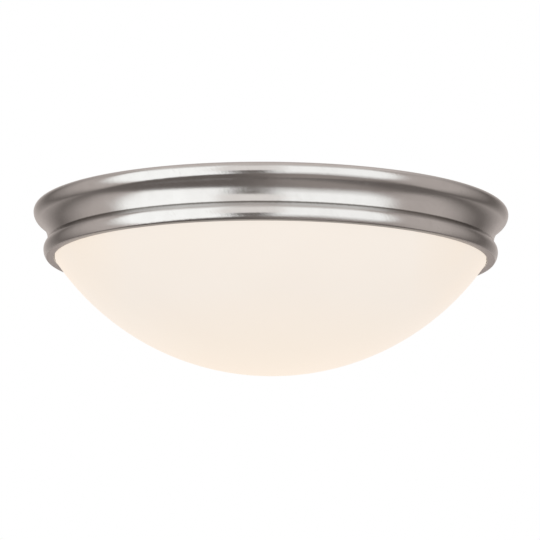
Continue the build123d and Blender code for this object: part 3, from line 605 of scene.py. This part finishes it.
def fibre_finish():
    wool = Finish("glass fibre wool", Roughness=0.95, Sheen_Weight=0.4, Sheen_Roughness=0.5)
    tone = wool.use(
        cloudy,
        Place=wool.place,
        Patches_per_metre=110,
        Light_colour=(0.83, 0.78, 0.62, 1),
        Dark_colour=(0.70, 0.62, 0.43, 1),
    )
    strands = wool.use(marks, Place=wool.place, Marks_per_metre=1500, Length=6)
    turned = wool.add("ShaderNodeMapping", {"Vector": wool.place, "Rotation": (0.4, 0.2, 1.2)}).outputs[0]
    across = wool.use(marks, Place=turned, Marks_per_metre=1300, Length=7)
    tufts = wool.use(grain, Place=wool.place, Grains_per_metre=260, Least=0.0, Most=1.0)
    wool.to("Base Color", wool.mix(strands["Mask"], tone["Colour"], (0.93, 0.90, 0.80, 1)))
    height = wool.sum(strands["Height"], across["Height"], 0.8)
    wool.bump(wool.sum(height, tufts["Height"], 2.0), 0.0005)
    return wool.material


def lamp_glass_finish():
    frosted = Finish("frosted lamp glass", Roughness=0.3, Emission_Strength=0.42)
    haze = frosted.use(
        cloudy,
        Place=frosted.place,
        Patches_per_metre=40,
        Light_colour=(0.6, 0.58, 0.54, 1),
        Dark_colour=(0.54, 0.51, 0.46, 1),
    )
    glow = frosted.use(
        cloudy,
        Place=frosted.place,
        Patches_per_metre=30,
        Light_colour=(1.0, 0.86, 0.66, 1),
        Dark_colour=(0.97, 0.8, 0.58, 1),
    )
    silica = frosted.use(grain, Place=frosted.place, Grains_per_metre=1200, Least=0.24, Most=0.36)
    frosted.to("Base Color", haze["Colour"])
    frosted.to("Emission Color", glow["Colour"])
    frosted.to("Roughness", silica["Range"])
    frosted.bump(silica["Height"], 0.000005)
    return frosted.material


def clear_glass_finish():
    clear = Finish("clear stem glass", Transmission_Weight=0.9, IOR=1.48, Roughness=0.05)
    seed = clear.use(
        cloudy,
        Place=clear.place,
        Patches_per_metre=300,
        Light_colour=(0.93, 0.95, 0.94, 1),
        Dark_colour=(0.86, 0.9, 0.88, 1),
    )
    cords = clear.use(grain, Place=clear.place, Grains_per_metre=800, Least=0.03, Most=0.08)
    clear.to("Base Color", seed["Colour"])
    clear.to("Roughness", cords["Range"])
    clear.bump(cords["Height"], 0.00001)
    return clear.material


def filament_finish():
    wire = Finish("tungsten wire", Metallic=1.0, Emission_Strength=2.0)
    tone = wire.use(
        cloudy,
        Place=wire.place,
        Patches_per_metre=500,
        Light_colour=(0.5, 0.47, 0.44, 1),
        Dark_colour=(0.36, 0.34, 0.32, 1),
    )
    heat = wire.use(
        cloudy,
        Place=wire.place,
        Patches_per_metre=200,
        Light_colour=(0.5, 0.3, 0.12, 1),
        Dark_colour=(0.3, 0.14, 0.04, 1),
    )
    skin = wire.use(grain, Place=wire.place, Grains_per_metre=2000, Least=0.35, Most=0.5)
    wire.to("Base Color", tone["Colour"])
    wire.to("Emission Color", heat["Colour"])
    wire.to("Roughness", skin["Range"])
    wire.bump(skin["Height"], 0.000005)
    return wire.material


finishes = {
    "brushed_steel_ring": brushed_ring_finish(),
    "opal_glass": opal_glass_finish(),
    "white_enamel": enamel_finish(),
    "spring_steel": drawn_metal_finish(
        "blued spring steel", (0.46, 0.47, 0.5), (0.38, 0.38, 0.4), 0.3, turn=(0, radians(90), 0)
    ),
    "zinc_steel": zinc_finish(),
    "nickel_rivet": drawn_metal_finish(
        "nickel plated rivet", (0.68, 0.65, 0.6), (0.6, 0.57, 0.52), 0.26, spangle=150
    ),
    "lamp_alloy": turned_metal_finish(
        "lamp cap alloy", (0.74, 0.74, 0.72), (0.62, 0.61, 0.58), 0.24, (0.45, 0.43, 0.4)
    ),
    "brass": turned_metal_finish(
        "lampholder brass", (0.78, 0.62, 0.32), (0.66, 0.48, 0.22), 0.26, (0.4, 0.27, 0.12)
    ),
    "porcelain": porcelain_finish(),
    "heat_pad": fibre_finish(),
    "bushing_nylon": moulded_finish("black nylon", (0.035, 0.035, 0.037), (0.02, 0.02, 0.022), 0.42),
    "connector_plastic": moulded_finish(
        "orange connector plastic",
        (0.83, 0.33, 0.06),
        (0.74, 0.26, 0.04),
        0.36,
        Coat_Weight=0.2,
        Coat_Roughness=0.2,
    ),
    "black_sleeving": moulded_finish(
        "black wire sleeving", (0.03, 0.03, 0.033), (0.018, 0.018, 0.02), 0.38, grains=2200, depth=0.00002
    ),
    "white_sleeving": moulded_finish(
        "white wire sleeving", (0.82, 0.81, 0.78), (0.74, 0.72, 0.67), 0.4, grains=2200, depth=0.00002
    ),
    "bare_copper": turned_metal_finish(
        "bare copper", (0.86, 0.46, 0.3), (0.66, 0.32, 0.2), 0.3, (0.35, 0.16, 0.1)
    ),
    "lamp_glass": lamp_glass_finish(),
    "black_glass": moulded_finish(
        "black cap glass",
        (0.03, 0.028, 0.03),
        (0.015, 0.015, 0.016),
        0.12,
        grains=600,
        Coat_Weight=0.6,
        Coat_Roughness=0.05,
    ),
    "clear_glass": clear_glass_finish(),
    "tungsten": filament_finish(),
}

for node_name, node in nodes.items():
    for position, material in enumerate(node.data.materials):
        node.material_slots[position].material = finishes[material.name]

# ---------------------------------------------------------------- modelling by hand


def start_outline(name, x, z):
    """A new piece in edit mode, with one vertex where its outline begins."""
    bpy.ops.object.select_all(action="DESELECT")
    bpy.ops.mesh.primitive_plane_add(size=0.001)
    piece = bpy.context.object
    piece.name = piece.data.name = name
    bpy.ops.object.mode_set(mode="EDIT")
    bpy.ops.mesh.select_all(action="SELECT")
    bpy.ops.mesh.merge(type="CENTER")
    bpy.ops.transform.translate(value=(x * mm, 0, z * mm))
    return piece, [x, z]


def draw_line(pen, x, z, pieces=1):
    """Extrude the last vertex in a straight line to a place on the outline."""
    step = ((x - pen[0]) / pieces, (z - pen[1]) / pieces)
    for _ in range(pieces):
        bpy.ops.mesh.extrude_region_move(TRANSFORM_OT_translate={"value": (step[0] * mm, 0, step[1] * mm)})
    pen[:] = [x, z]


def draw_arc(pen, x, z, sweep, steps):
    """Spin the last vertex about a centre; a positive sweep goes from +X up to +Z."""
    bpy.ops.mesh.spin(steps=steps, angle=radians(sweep), center=(x * mm, 0, z * mm), axis=(0, 1, 0))
    turn = radians(sweep)
    dx, dz = pen[0] - x, pen[1] - z
    pen[:] = [x + dx * cos(turn) - dz * sin(turn), z + dx * sin(turn) + dz * cos(turn)]


def revolve(piece, steps):
    """Spin the closed outline about the light's axis, close the seam and turn the faces outwards."""
    bpy.ops.mesh.select_all(action="SELECT")
    bpy.ops.mesh.remove_doubles(threshold=1e-6)
    bpy.ops.mesh.select_all(action="SELECT")
    bpy.ops.mesh.spin(steps=steps, angle=2 * pi, center=(0, 0, 0), axis=(0, 0, 1))
    bpy.ops.mesh.select_all(action="SELECT")
    bpy.ops.mesh.remove_doubles(threshold=1e-6)
    bpy.ops.mesh.normals_make_consistent(inside=False)
    bpy.ops.object.mode_set(mode="OBJECT")
    bpy.ops.object.shade_smooth_by_angle(angle=radians(25))
    return piece


def steel_ring():
    """The spun steel ring: flange, round upper bead, cove, waist, crease and lower bead with its lip."""
    cone_turn = radians(cone_lean)
    inner_crease = crease_height - ring_sheet * tan(cone_turn / 2)
    ring, pen = start_outline("spun_ring", flange_radius, 0)
    draw_line(pen, shoulder[0], 0, 3)
    draw_arc(pen, *shoulder, -90, 14)
    draw_arc(pen, *bead, -cove_sweep, 18)
    draw_arc(pen, *cove, cove_sweep, 28)
    draw_line(pen, waist_radius, crease_height)
    draw_line(
        pen,
        lower_top[0] + lower_top_radius * cos(cone_turn),
        lower_top[1] + lower_top_radius * sin(cone_turn),
        2,
    )
    draw_arc(pen, *lower_top, -cone_lean, 12)
    draw_arc(pen, *belly, -belly_sweep, 14)
    draw_arc(pen, *lip_bend, belly_sweep - 90, 10)
    draw_line(pen, lip_radius + 0.3, lip_height, 3)
    draw_arc(pen, lip_radius + 0.3, lip_height + 0.3, -90, 3)
    draw_line(pen, lip_radius, lip_height + ring_sheet)
    draw_line(pen, lip_bend[0], lip_height + ring_sheet)
    draw_arc(pen, *lip_bend, 90 - belly_sweep, 5)
    draw_arc(pen, *belly, belly_sweep, 8)
    draw_arc(pen, *lower_top, cone_lean, 6)
    draw_line(pen, waist_radius - ring_sheet, inner_crease)
    draw_line(pen, waist_radius - ring_sheet, waist_height)
    draw_arc(pen, *cove, -cove_sweep, 14)
    draw_arc(pen, *bead, cove_sweep, 10)
    draw_arc(pen, *shoulder, 90, 8)
    draw_line(pen, flange_radius, -ring_sheet)
    draw_line(pen, flange_radius, 0)
    return revolve(ring, 320)


def rivet_holes(ring):
    """Cut the countersunk holes of the six flush rivets through the ring's flange."""
    sink_radius, hole_radius, sink_depth, above, below = 2.5, 1.7, 0.92, 0.4, 0.6
    slope = (sink_radius - hole_radius) / sink_depth
    cutter, pen = start_outline("rivet drill", 0, above)
    draw_line(pen, sink_radius + above * slope, above)
    draw_line(pen, hole_radius, -sink_depth)
    draw_line(pen, hole_radius, -sink_depth - below)
    draw_line(pen, 0, -sink_depth - below)
    revolve(cutter, 32)
    bpy.ops.object.mode_set(mode="EDIT")
    bpy.ops.mesh.select_all(action="SELECT")
    for number, (radius, offset, azimuth) in enumerate(
        [(157, side * 7, azimuth) for azimuth in (30, 150, 270) for side in (-1, 1)]
    ):
        turn = radians(azimuth)
        place = (radius * cos(turn) - offset * sin(turn), radius * sin(turn) + offset * cos(turn))
        if number == 0:
            here = place
            bpy.ops.transform.translate(value=(place[0] * mm, place[1] * mm, 0))
        else:
            step = ((place[0] - here[0]) * mm, (place[1] - here[1]) * mm, 0)
            bpy.ops.mesh.duplicate_move(TRANSFORM_OT_translate={"value": step})
            here = place
    bpy.ops.object.mode_set(mode="OBJECT")
    bpy.ops.object.select_all(action="DESELECT")
    bpy.context.view_layer.objects.active = ring
    drill = ring.modifiers.new("rivet holes", "BOOLEAN")
    drill.operation = "DIFFERENCE"
    drill.object = cutter
    drill.solver = "EXACT"
    bpy.ops.object.modifier_apply(modifier=drill.name)
    bpy.data.objects.remove(cutter, do_unlink=True)
    ring.select_set(True)
    bpy.ops.object.shade_smooth_by_angle(angle=radians(25))


def fibre_pad():
    """The heat pad over the pan: a needled glass fibre ring with round edges and uneven tufts."""
    inner, outer, top, foot, edge = 63.2, 144.4, -1.7, -11.7, 3.6
    pad, pen = start_outline("fibre_pad", inner + edge, top)
    draw_line(pen, outer - edge, top, 30)
    draw_arc(pen, outer - edge, top - edge, -90, 5)
    draw_line(pen, outer, foot + edge, 2)
    draw_arc(pen, outer - edge, foot + edge, -90, 5)
    draw_line(pen, inner + edge, foot, 30)
    draw_arc(pen, inner + edge, foot + edge, -90, 5)
    draw_line(pen, inner, top - edge, 2)
    draw_arc(pen, inner + edge, top - edge, -90, 5)
    revolve(pad, 300)
    for name, size, depth in (("lofts", 0.022, 0.0011), ("tufts", 0.0045, 0.0007)):
        cloud = bpy.data.textures.new(name, "CLOUDS")
        cloud.noise_scale = size
        cloud.noise_depth = 2
        swell = pad.modifiers.new(name, "DISPLACE")
        swell.texture = cloud
        swell.texture_coords = "LOCAL"
        swell.strength = depth
        swell.mid_level = 0.5
        bpy.ops.object.modifier_apply(modifier=swell.name)
    bpy.ops.object.shade_smooth()
    return pad


ring = steel_ring()
rivet_holes(ring)
ring.data.materials.append(finishes["brushed_steel_ring"])
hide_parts("trim_ring")
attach(ring, "fixture")

pad = fibre_pad()
pad.data.materials.append(finishes["heat_pad"])
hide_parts("insulation_pad")
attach(pad, "fixture")

bpy.context.view_layer.update()
